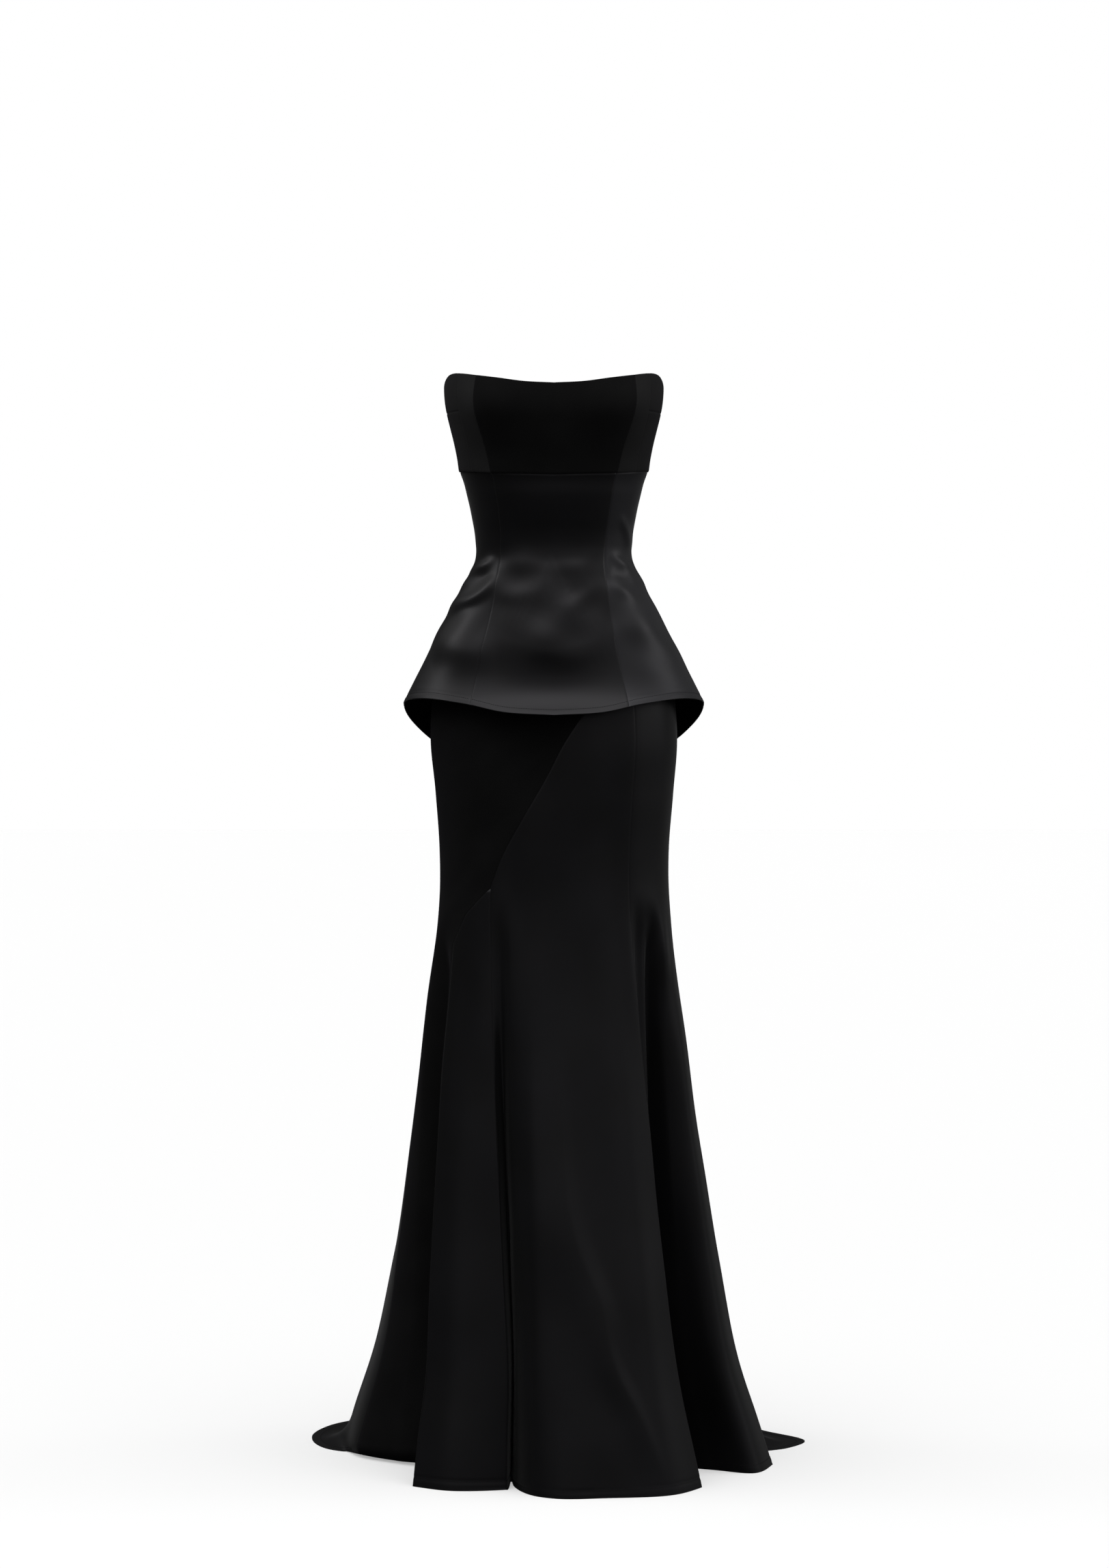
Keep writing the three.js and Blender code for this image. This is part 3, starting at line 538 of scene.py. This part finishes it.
# Bodice and peplum
# Satin side out, cut in one with no waist seam. Bones and interlining hold it smooth above the waist,
# and below it the same pieces spring out into a stiff peplum that dips behind.
BODICE_SECTIONS = np.array([
    [120, 127.2, 103.6, 92.2],
    [103, 123.8, 101, 90.2],
    [88, 118.6, 98.4, 88.2],
    [70, 114.1, 96.6, 86.4],
    [58, 111.2, 94.6, 85.4],
    [40, 107.6, 91, 84.6],
    [22, 104.4, 87.4, 84],
    [8, 103, 85.6, 84.3],
    [0, 102.4, 85.2, 84.6],
    [-13, 103.6, 86.1, 87],
    [-31, 110.8, 91, 95.4],
    [-49, 119.6, 95.6, 105],
    [-85, 139.6, 102.8, 121],
    [-121, 158.4, 109.8, 135.4],
    [-157, 176.2, 117, 148],
    [-170, 182.8, 120.4, 152],
    [-180, 187.8, 124.2, 155],
    [-192, 193.8, 130.8, 159],
    [-202, 198.6, 138.6, 162],
    [-215, 203, 151, 166],
    [-240, 206, 174, 171],
    [-315, 207, 186, 184],
])
PEPLUM_HEM = [(0, -216), (19, -212), (33, -203), (41, -199.5), (55, -195.5), (75, -196.5), (90, -201)]
PEPLUM_BACK_DROP = 108
PEPLUM_STITCHES = 9  # mm above the hem
BODICE_PRINCESS_LEFT = [
    (98, -41.5), (22, -42), (-10, -43), (-31, -41.2), (-67, -37.6), (-105, -35.2), (-202, -33),
]
BODICE_PRINCESS_RIGHT = [
    (98, 41.8), (22, 41.4), (-10, 40), (-31, 37.6), (-67, 33.4), (-105, 30.6), (-202, 29),
]


def peplum_hem(a):
    """Height of the peplum's hem, which dips behind."""
    turned = from_front(a)
    drop = PEPLUM_BACK_DROP * np.sin(np.radians(np.maximum(turned - 90, 0))) ** 1.5
    return through(PEPLUM_HEM, np.minimum(turned, 90)) - drop


def bodice(a, z):
    """The outer face of the bodice and peplum."""
    return ring(BODICE_SECTIONS, a, z)


def bodice_princess(table):
    """Angle of a princess seam at each row of the bodice."""
    heights = underbust(41) + (peplum_hem(35) - underbust(41)) * bodice_rows
    return through(table, heights)


PEPLUM_RIPPLES = [(9, 75, 20, 0.5), (-11, 95, 140, 0.5), (5, 52, 250, 0.3), (-6, 66, 310, 0.4)]


def peplum_relief(points, inset):
    """The hem's row of stitches pulls a fine groove, and the turned-up hem below it stands proud."""
    edge = inset[3]
    groove = -0.45 * np.exp(-(((edge - PEPLUM_STITCHES) / 1.1) ** 2))
    fold = 0.3 * (edge < PEPLUM_STITCHES) * np.sqrt(np.clip(edge / PEPLUM_STITCHES, 0, 1))
    z = points[..., 2]
    slack = np.exp(-(((z + 85) / 70) ** 4)) * np.clip((edge - 12) / 30, 0, 1)
    slack *= np.where(points[..., 1] > 0, 0.5, 1 - 0.5 * np.exp(-((points[..., 1] / 60) ** 2)))
    return groove + fold + slack * ripples(points, PEPLUM_RIPPLES)


# Folds of the fitted cloth: seen from, its line in mm, height and width
BODICE_FOLDS = [
    ("front", [(-114, -33), (-92, -22), (-74, -12)], 2.8, 5),
    ("front", [(-112, -48), (-92, -37), (-72, -27)], -2.4, 7),
    ("front", [(-150, -84), (-122, -72), (-98, -61), (-84, -50), (-73, -32)], 5, (9, 7)),
    ("front", [(72, -10), (88, -18), (106, -26)], 3, 6),
    ("front", [(74, -28), (88, -33), (104, -40)], -2.4, 8),
    ("front", [(68, -44), (90, -56), (114, -66)], 3, 9),
    ("front", [(88, 46), (95, 22), (100, -2)], 2.2, 5),
    ("front", [(-74, -14), (-52, -19), (-30, -20), (0, -20)], 2, 12),
    ("front", [(-12, -20), (26, -23), (66, -12)], 1.7, 12),
    ("front", [(-84, -52), (-50, -61), (-12, -54)], 2.3, 13),
    ("front", [(10, -88), (38, -66), (68, -44)], 2, 11),
    ("front", [(-92, -100), (-46, -124), (-6, -133), (40, -124), (84, -100)], 12, (72, 30)),
    ("front", [(-152, -104), (-116, -100), (-64, -96)], -1.6, (26, 30)),
    ("front", [(-162, -138), (-128, -130), (-72, -136)], 6.5, (34, 24)),
    ("front", [(70, -98), (104, -101), (140, -94)], 5, (30, 20)),
    ("back", [(-96, -24), (-52, -34), (-8, -30)], 2.4, 12),
    ("back", [(4, -46), (50, -56), (100, -44)], 2.8, 14),
    ("back", [(-110, -70), (-66, -86), (-16, -82)], 3, 18),
    ("right", [(-62, -30), (-18, -42), (40, -34)], 2.2, 12),
    ("left", [(-58, -34), (-10, -46), (46, -36)], 2.2, 12),
]
bodice_rows = strips(300, PITCH)
peplum_hems = {}
for name, left, right in [
    (
        "bodice_front_centre",
        bodice_princess(BODICE_PRINCESS_LEFT),
        bodice_princess(BODICE_PRINCESS_RIGHT),
    ),
    ("bodice_front_side_left", -SIDE_SEAM, bodice_princess(BODICE_PRINCESS_LEFT)),
    ("bodice_front_side_right", bodice_princess(BODICE_PRINCESS_RIGHT), SIDE_SEAM),
    ("bodice_back_side_left", -BACK_SEAM, -SIDE_SEAM),
    ("bodice_back_side_right", SIDE_SEAM, BACK_SEAM),
    ("bodice_back_centre_left", -180, -BACK_SEAM),
    ("bodice_back_centre_right", BACK_SEAM, 180),
]:
    piece, made = cloth(
        name + "_cloth", between(bodice, underbust, peplum_hem), left, right, bodice_rows, BAND_WALL,
        seams=(0.7, 0.7, 1.3, 0), folds=BODICE_FOLDS, relief=peplum_relief,
    )
    # The right front side piece wears the satin side with painted light, its colour lighter
    outside = satin_painted_lighter if name == "bodice_front_side_right" else satin
    sew_on(piece, outside, matt)
    peplum_hems[name] = made

# Skirt
# Eight pieces that hang from the waist. A matt yoke crosses the hips above the diagonal seam and runs
# on down the left side; the others are satin side out. Below the thighs they open into soft flutes.
SKIRT_WALL = 0.0012
SKIRT_SECTIONS = np.array([
    [0, 99.5, 82.5, 81.8],
    [-13, 100.6, 83.8, 83],
    [-31, 106.2, 89.2, 90.2],
    [-60, 118.8, 97.8, 102],
    [-112, 139.5, 108.5, 115],
    [-180, 156.8, 117, 121.5],
    [-250, 162.6, 121, 122],
    [-320, 156.8, 119.5, 117.5],
    [-392, 150.8, 116.5, 113],
    [-430, 150.2, 115.5, 113],
    [-500, 154.9, 116.5, 118],
    [-571, 163.8, 120.5, 128],
    [-643, 173.7, 126.5, 141],
    [-787, 193.5, 141, 173],
    [-931, 216.5, 157, 212],
    [-1075, 245, 173, 262],
    [-1147, 268, 181, 293],
    [-1210, 288, 187, 325],
])
# Fold lines round the skirt from the front centre to the right: name, angle, height where the fold is
# born, place where it comes down to the floor, place of its hem, crispness and how fast it opens
FOLDS = [
    ("front_centre", 0, -520, 2, -187, 2, -187, 0, 1.2),
    ("front_mid", 19, -520, 66, -184, 66, -184, 0, 1.2),
    ("front_right", 31, -520, 156, -163, 156, -163, 0, 1.2),
    ("right_edge", 40.4, -440, 191, -119, 191, -119, 0.8, 1),
    ("right_tuck", 46, -440, 160, -82, 160, -82, 0, 0.8),
    ("right_ridge", 51.5, -440, 170, -56, 170, -56, 0.3, 0.9),
    ("right_hollow", 58, -450, 160, 2, 160, 2, 0, 0.8),
    ("right_face", 66, -500, 206, -12, 206, -12, 0, 1),
    ("right_flute", 76, -480, 262, -34, 262, -34, 0, 1),
    ("right_crest", 86, -480, 290, 22, 290, 22, 0.6, 1),
    ("right_turn", 98, -520, 262, 84, 268, 92, 0, 1),
    ("train_right_fore", 108, -560, 262, 124, 316, 127, 0, 1),
    ("train_right_tip", 117, -600, 266, 172, 342, 168, 0, 1),
    ("train_right_aft", 127, -560, 232, 212, 288, 246, 0, 1),
    ("back_right_crest", 138, -520, 214, 296, 240, 334, 0, 1),
    ("back_right_hollow", 148, -520, 148, 256, 200, 398, 0, 1),
    ("back_right_flute", 159, -560, 112, 342, 134, 440, 0, 1),
    ("back_right_trough", 169, -560, 56, 292, 68, 462, 0, 1),
    ("back_centre", 180, -540, 0, 350, 0, 470, 0, 1),
    ("back_left_trough", 191, -580, -60, 286, -70, 464, 0, 1),
    ("back_left_flute", 201, -540, -106, 334, -136, 444, 0, 1),
    ("back_left_hollow", 212, -560, -156, 262, -206, 404, 0, 1),
    ("back_left_crest", 222, -520, -208, 300, -252, 346, 0, 1),
    ("train_left_aft", 233, -560, -242, 222, -312, 278, 0, 1),
    ("train_left_tip", 243, -560, -284, 188, -332, 206, 0, 1),
    ("train_left_fore", 253, -560, -284, 130, -306, 122, 0, 1),
    ("left_turn", 264, -600, -266, 66, -250, 86, 0, 1.5),
    ("left_face", 276, -560, -212, 22, -198, 46, 0, 1.6),
    ("left_hollow", 290, -470, -152, -26, -152, -26, 0, 0.9),
    ("left_flute_edge", 303, -470, -182, -114, -182, -114, 0.9, 2.1),
    ("left_flute_face", 313, -450, -136, -140, -136, -140, 0, 1.7),
    ("left_flute_return", 327, -440, -61, -134, -59, -134, 0.7, 1.35),
    ("front_tuck", 332, -440, -55, -72, -55, -84, 0.2, 1.3),
    ("front_left", 339, -470, -48, -114, -51, -116, 0, 1.5),
    ("front_left_mid", 349, -520, -19, -176, -19, -176, 0, 1.5),
]
# The diagonal seam: height and angle, down to the kink where the godet is set in, and below it
KINK = -440
DIAGONAL = [
    (-112, 40.4), (-160, 29), (-205, 16.5), (-250, 5.5),
    (-300, -4), (-350, -15), (-400, -26.5), (KINK, -33),
]
DIAGONAL_BELOW_KINK = [(KINK, -33), (-475, -48.5), (-515, -57)]
FOOT_TOP = -1110
FOOT = 100
TRAIN_BEND = 48
SKIRT_STITCHES = 12  # mm above the hem
LINES = len(FOLDS)
names = [fold[0] for fold in FOLDS]
table = np.array([fold[1:] for fold in FOLDS], float)
fold_angle, born, down_x, down_y, hem_x, hem_y, keen, rate = table.T


def fold_lines(v):
    """Places of the fold lines in mm, and their crispness, at each distance v down the skirt. The
    foot is the last of it, which comes down to the floor, bends and runs out along the train."""
    v = np.asarray(v, float)[:, None]
    share = np.clip((v + FOOT_TOP) / FOOT, 0, 1)
    out = np.stack([hem_x - down_x, hem_y - down_y], axis=-1)
    reach = np.linalg.norm(out, axis=-1)
    # A line with a short train bends more tightly, and one with none stops just above the floor
    bend = np.minimum(TRAIN_BEND, reach * 0.7)
    ground = FLOOR * 1000 + 0.2 + (SKIRT_WALL * 1000 - 0.2) * np.minimum(1, reach / 10)
    fall = FOOT_TOP - ground - bend
    arc = bend * math.pi / 2
    gone = share * (fall + arc + reach - bend)
    turn = np.clip((gone - fall) / np.maximum(bend, 0.01), 0, math.pi / 2)
    dropped = np.minimum(gone, fall) + bend * np.sin(turn)
    pushed = bend * (1 - np.cos(turn)) + np.maximum(0, gone - fall - arc)
    z = np.where(v <= -FOOT_TOP, -v, FOOT_TOP - dropped)
    # A fold begins softly where it is born, and then opens at its own rate down to the floor
    share = np.clip((born - z) / (born - FLOOR * 1000), 0, 1)
    opened = share**rate * (1 - np.exp(-((share / 0.06) ** 2)))
    points = ring(SKIRT_SECTIONS, fold_angle, z)
    foot = ring(SKIRT_SECTIONS, fold_angle, np.full(LINES, FLOOR * 1000))
    points[..., 0] += (down_x - foot[:, 0]) * opened
    points[..., 1] += (down_y - foot[:, 1]) * opened
    points[..., :2] += pushed[..., None] * unit(out)
    # It reaches its full crispness when it is a quarter open
    full = np.where(v <= -FOOT_TOP, opened, 1)
    return points, keen * np.minimum(1, 4 * full), ground


def skirt(u, v):
    """The skirt's outer face: u counts fold lines from the front centre and v is in mm down."""
    lines, crisp, ground = fold_lines(v)
    row = np.arange(len(v))[:, None]
    first = np.floor(u).astype(int)
    t = (u - first)[..., None]
    one, two, three, four = (lines[row, (first + k) % LINES] for k in (-1, 0, 1, 2))
    chord = np.linalg.norm(three - two, axis=-1, keepdims=True)

    def heading(before, after, straight, crispness):
        """Which way the cloth leaves a line: smoothly through it, or straight on if it is crisp."""
        short = np.linalg.norm(before, axis=-1, keepdims=True)
        long = np.linalg.norm(after, axis=-1, keepdims=True)
        smooth = (before / short * long + after / long * short) / (short + long)
        return smooth + (unit(straight) - smooth) * crispness[..., None]

    leave = heading(two - one, three - two, three - two, crisp[row, first % LINES])
    arrive = heading(three - two, four - three, three - two, crisp[row, (first + 1) % LINES])
    rise = t * t * (3 - 2 * t)
    points = (
        two * (1 - rise)
        + three * rise
        + leave * t * (1 - t) ** 2 * chord
        + arrive * t * t * (t - 1) * chord
    )
    lowest = ground[first % LINES] * (1 - t[..., 0]) + ground[(first + 1) % LINES] * t[..., 0]
    points[..., 2] = np.maximum(points[..., 2], lowest)
    return points


def line_at(name):
    """A fold line's number from the front centre."""
    return names.index(name)


def diagonal(v):
    """The diagonal seam, counted in fold lines from the front centre, or from one round back of it."""
    z = -np.asarray(v, float)
    low, below = np.array(DIAGONAL_BELOW_KINK[::-1], float).T
    angle = np.where(z >= KINK, through(DIAGONAL, z), np.interp(z, low, below))
    angles = np.concatenate([fold_angle, [360]])
    turned = np.interp(np.mod(angle, 360), angles, np.arange(LINES + 1))
    return np.where(turned < line_at("left_flute_edge") - 0.5, turned + LINES, turned)


SKIRT_RIPPLES = [
    (11, 900, 40, 0.35), (-7, 640, 200, 0.4), (17, 1400, 90, 0.25),
    (4, 230, 10, 0.35), (-5, 170, 120, 0.25),
]


def skirt_relief(points, inset):
    """The hem's row of stitches pulls a fine groove, and the turned-up hem below it stands proud."""
    edge = inset[3]
    groove = -0.45 * np.exp(-(((edge - SKIRT_STITCHES) / 1.3) ** 2))
    fold = 0.25 * (edge < SKIRT_STITCHES) * np.sqrt(np.clip(edge / SKIRT_STITCHES, 0, 1))
    slack = np.clip((points[..., 2] + 1195) / 90, 0, 1) * np.clip((inset[2] - 10) / 60, 0, 1)
    return groove + fold + slack * ripples(points, SKIRT_RIPPLES)


# Folds of the hanging cloth: seen from, its line in mm, height and width
SKIRT_FOLDS = [
    ("front", [(0, -640), (35, -913), (62, -972), (84, -1051), (104, -1110)], 6, (13, 44)),
    ("front", [(54, -930), (80, -1051), (108, -1105), (143, -1200)], 4.4, (7, 24)),
]


def skirt_rows(top):
    """Distances down the skirt in mm: about 6 apart, with one at the kink, and closer down the foot."""
    hanging = np.linspace(top, -FOOT_TOP, int((-FOOT_TOP - top) / 6))
    hanging[np.abs(hanging + KINK).argmin()] = max(top, -KINK)
    foot = -FOOT_TOP + FOOT * np.linspace(0, 1, 34)[1:-1]
    return np.concatenate([hanging, foot, [1209, 1209.6, 1210]])


right_edge = line_at("right_edge")
flute_return = line_at("left_flute_return")
side_right = line_at("right_turn")
back_right = line_at("back_right_hollow")
back_centre = line_at("back_centre")
back_left = line_at("back_left_hollow")
side_left = line_at("left_turn")
waist_rows = skirt_rows(5)
godet_rows = skirt_rows(440.8)
front_rows = skirt_rows(113.9)
skirt_hems = {}
for name, left, right, rows, outside, inside, slot in [
    ("skirt_side_front_left", side_left, diagonal(waist_rows), waist_rows, matt, satin, "crepe_matt"),
    ("skirt_godet_left", diagonal(godet_rows), flute_return, godet_rows, satin, matt, "crepe_satin"),
    (
        "skirt_front_centre",
        np.where(front_rows <= -KINK, diagonal(front_rows), flute_return),
        right_edge + LINES,
        front_rows,
        satin,
        matt,
        "crepe_satin",
    ),
    ("skirt_side_front_right", right_edge, side_right, waist_rows, satin, matt, "crepe_satin"),
    ("skirt_back_side_right", side_right, back_right, waist_rows, satin, matt, "crepe_satin"),
    ("skirt_back_centre_right", back_right, back_centre, waist_rows, satin, matt, "crepe_satin"),
    ("skirt_back_centre_left", back_centre, back_left, waist_rows, satin, matt, "crepe_satin"),
    ("skirt_back_side_left", back_left, side_left, waist_rows, satin, matt, "crepe_satin"),
]:
    piece, made = cloth(
        name + "_cloth", skirt, left, right, rows, SKIRT_WALL,
        seams=(0.5, 0.5, 0, 0), folds=SKIRT_FOLDS, relief=skirt_relief,
    )
    sew_on(piece, outside, inside)
    skirt_hems[name] = made

# Hem stitches
# One row of machine stitches in black spun thread along the peplum's hem and the skirt's, each stitch
# 2.6 mm long and sunk into the cloth at both ends.
STITCH = 2.6
STITCH_STEP = 3.2
THREAD = 0.22
# Where the thread's rings lie along a stitch, and how high over the cloth in mm: it comes up out of
# the cloth, lies on it and goes down again
ALONG = np.array([0, 0.15, 0.5, 0.85, 1])
ABOVE = np.array([-0.35, 0.1, 0.22, 0.1, -0.35])
RINGS, SIDES = len(ALONG), 6
spun, tree, shader = new_material("spun polyester sewing thread")
spot = add(tree, "TexCoord", {})
# Two hairy plies turn round each other once in about 1 mm, and give a dull, broken black
plies = add(tree, "TexNoise", {"Vector": spot.outputs["Object"], "Scale": 1000, "Detail": 1})
tone = add(tree, "ValToRGB", {"Fac": plies.outputs["Fac"]})
tone.color_ramp.elements[0].color = linear("#040405")
tone.color_ramp.elements[1].color = linear("#09090b")
bump = add(tree, "Bump", {"Height": plies.outputs["Fac"], "Strength": 0.3, "Distance": 0.0001})
tree.links.new(tone.outputs["Color"], shader.inputs["Base Color"])
tree.links.new(bump.outputs["Normal"], shader.inputs["Normal"])
shader.inputs["Roughness"].default_value = 0.6
shader.inputs["Specular IOR Level"].default_value = 0.05


def stitches(name, hems, height):
    """A row of stitches along the hems of some pieces: small six-sided threads in five rings each."""
    points, faces = [], []
    for made in hems:
        edge = made["inset"][3]
        spots, ups = (
            np.array([
                [np.interp(-height, -edge[:, j], made[key][:, j, k]) for k in range(3)]
                for j in range(edge.shape[1])
            ])
            for key in ("points", "normals")
        )
        run = np.concatenate([[0], np.cumsum(np.linalg.norm(np.diff(spots, axis=0), axis=1))])
        for start in np.arange(1.5, run[-1] - STITCH - 1, STITCH_STEP):
            at = start + STITCH * ALONG
            centre = np.stack([np.interp(at, run, spots[:, k]) for k in range(3)], axis=-1)
            up = unit(np.stack([np.interp(at, run, ups[:, k]) for k in range(3)], axis=-1))
            aside = unit(np.cross(up, centre[-1] - centre[0]))
            centre = centre + up * ABOVE[:, None]
            first = RINGS * SIDES * len(points)
            turn = np.arange(SIDES) * 2 * math.pi / SIDES
            around = aside[:, None] * np.cos(turn)[:, None] + up[:, None] * np.sin(turn)[:, None]
            points.append(centre[:, None] + around * THREAD)
            for i in range(RINGS - 1):
                for k in range(SIDES):
                    near, far = first + SIDES * i, first + SIDES * (i + 1)
                    n = (k + 1) % SIDES
                    faces.append([near + k, near + n, far + n, far + k])
    row = new_mesh(name, np.concatenate(points) / 1000, faces)
    row.data.materials.append(spun)
    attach(row, "dress")


stitches("peplum_hem_stitches", peplum_hems.values(), PEPLUM_STITCHES)
stitches("skirt_hem_stitches", skirt_hems.values(), SKIRT_STITCHES)

# Zip
# A concealed zip closes the centre-back seam from the top edge down. Only its slider and pull show,
# die-cast and sprayed with black enamel.
enamel, tree, shader = new_material("black enamelled zinc")
# The enamel hides the metal and gives small hard highlights, duller where it has been handled
spot = add(tree, "TexCoord", {})
wear = add(tree, "TexNoise", {"Vector": spot.outputs["Object"], "Scale": 400, "Detail": 3})
tone = add(tree, "ValToRGB", {"Fac": wear.outputs["Fac"]})
tone.color_ramp.elements[0].color = linear("#0d0d0f")
tone.color_ramp.elements[1].color = linear("#1b1b1e")
rough = add(tree, "MapRange", {"Value": wear.outputs["Fac"], "To Min": 0.22, "To Max": 0.4})
bump = add(tree, "Bump", {"Height": wear.outputs["Fac"], "Strength": 0.1, "Distance": 0.0001})
tree.links.new(tone.outputs["Color"], shader.inputs["Base Color"])
tree.links.new(rough.outputs["Result"], shader.inputs["Roughness"])
tree.links.new(bump.outputs["Normal"], shader.inputs["Normal"])
shader.inputs["Coat Weight"].default_value = 0.5
for name in ("zip_slider", "zip_pull"):
    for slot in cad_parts[name].material_slots:
        slot.material = enamel

low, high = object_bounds()
